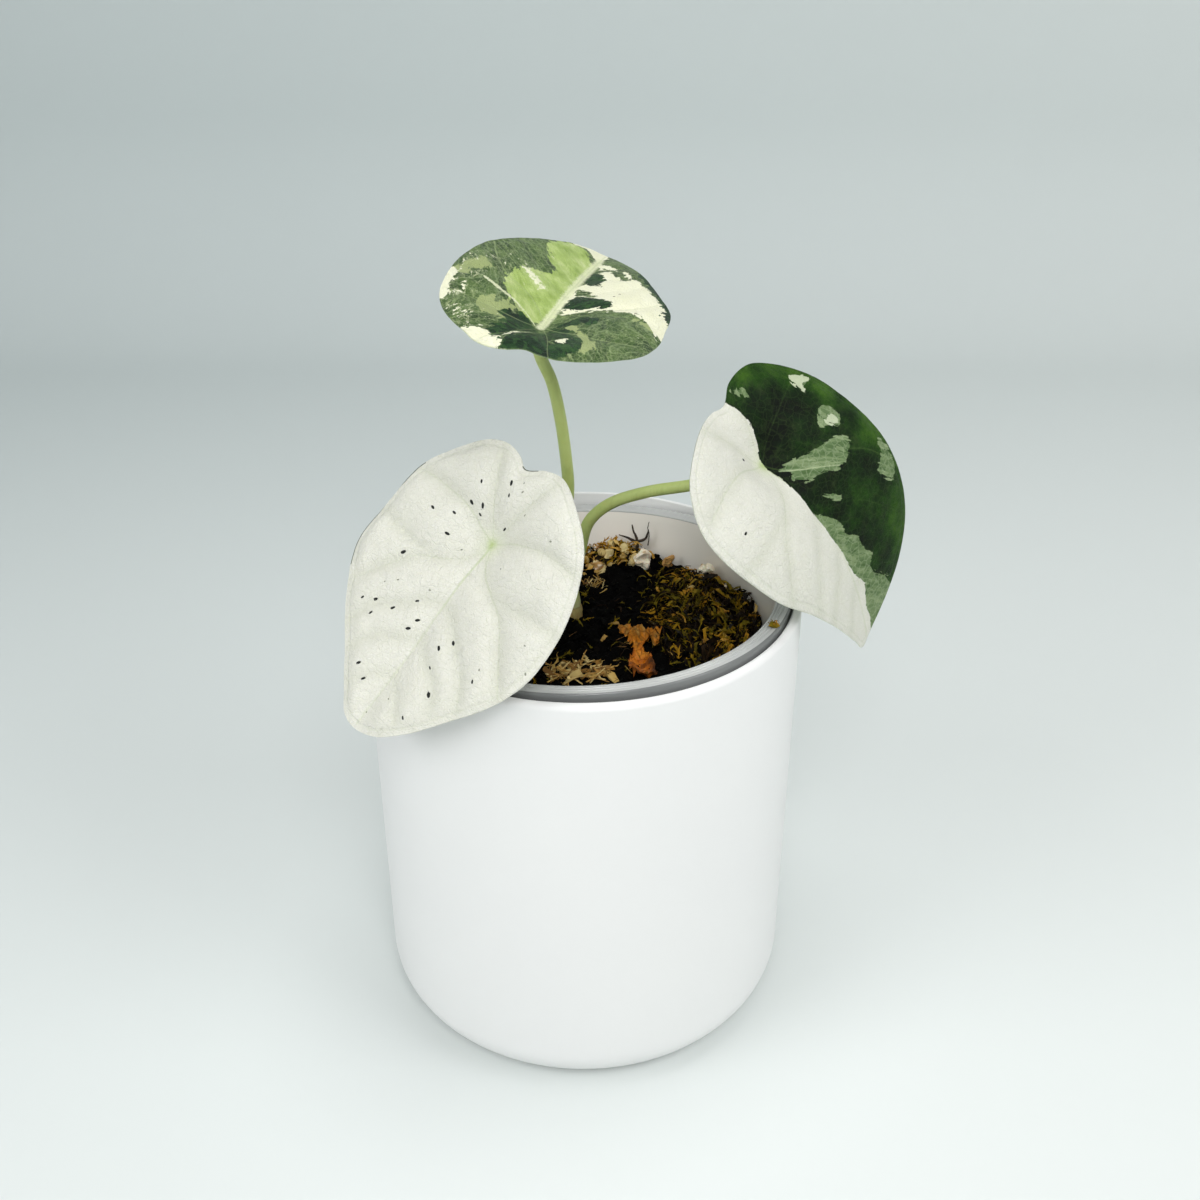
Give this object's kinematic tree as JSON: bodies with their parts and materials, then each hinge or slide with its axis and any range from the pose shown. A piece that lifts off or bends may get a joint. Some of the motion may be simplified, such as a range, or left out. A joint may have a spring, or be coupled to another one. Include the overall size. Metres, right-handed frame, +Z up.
{
  "type": "potted variegated alocasia house plant",
  "caption": "Young house plant with three thick peltate variegated leaves on curved stalks, rooted in mix in a clear cup inside a plain white cylindrical pot.",
  "frame": {"origin": "middle of the pot's flat foot, on the surface it stands on", "axes": "+Z up, -Y towards the front that the left and right leaves face, +X to the right seen from the front"},
  "size_m": [0.1245, 0.1034, 0.1818],
  "materials": {
    "pot": "smooth satin white",
    "cup": "clear, slightly hazy thin plastic",
    "mix": "damp dark peat with bark fines",
    "crown": "pale stem base with papery sheaths",
    "stalk": "smooth olive green skin",
    "white_blade": "thick quilted leaf, cream white with dark specks",
    "marbled_blade": "thick quilted leaf, marbled green, lime and cream",
    "half_blade": "thick quilted leaf, half cream white and half dark green",
    "moss": "dry olive and tan moss",
    "perlite": "rough white grains",
    "straw": "dry straw and bark chips",
    "dead_leaf": "dry orange-brown leaf scrap",
    "twig": "dark dried root end"
  },
  "bodies": {
    "root": {"pot": "pot", "liner_cup": "cup", "growing_mix": "mix", "crown": "crown", "petiole_left": "stalk", "petiole_top": "stalk", "petiole_right": "stalk", "leaf_left": "white_blade", "leaf_top": "marbled_blade", "leaf_right": "half_blade", "moss_back": "moss", "moss_right": "moss", "moss_crumb": "moss", "perlite_1": "perlite", "perlite_2": "perlite", "perlite_3": "perlite", "perlite_4": "perlite", "perlite_5": "perlite", "straw_front": "straw", "straw_tuft": "straw", "dead_leaf": "dead_leaf", "twig": "twig"}
  },
  "joints": []
}
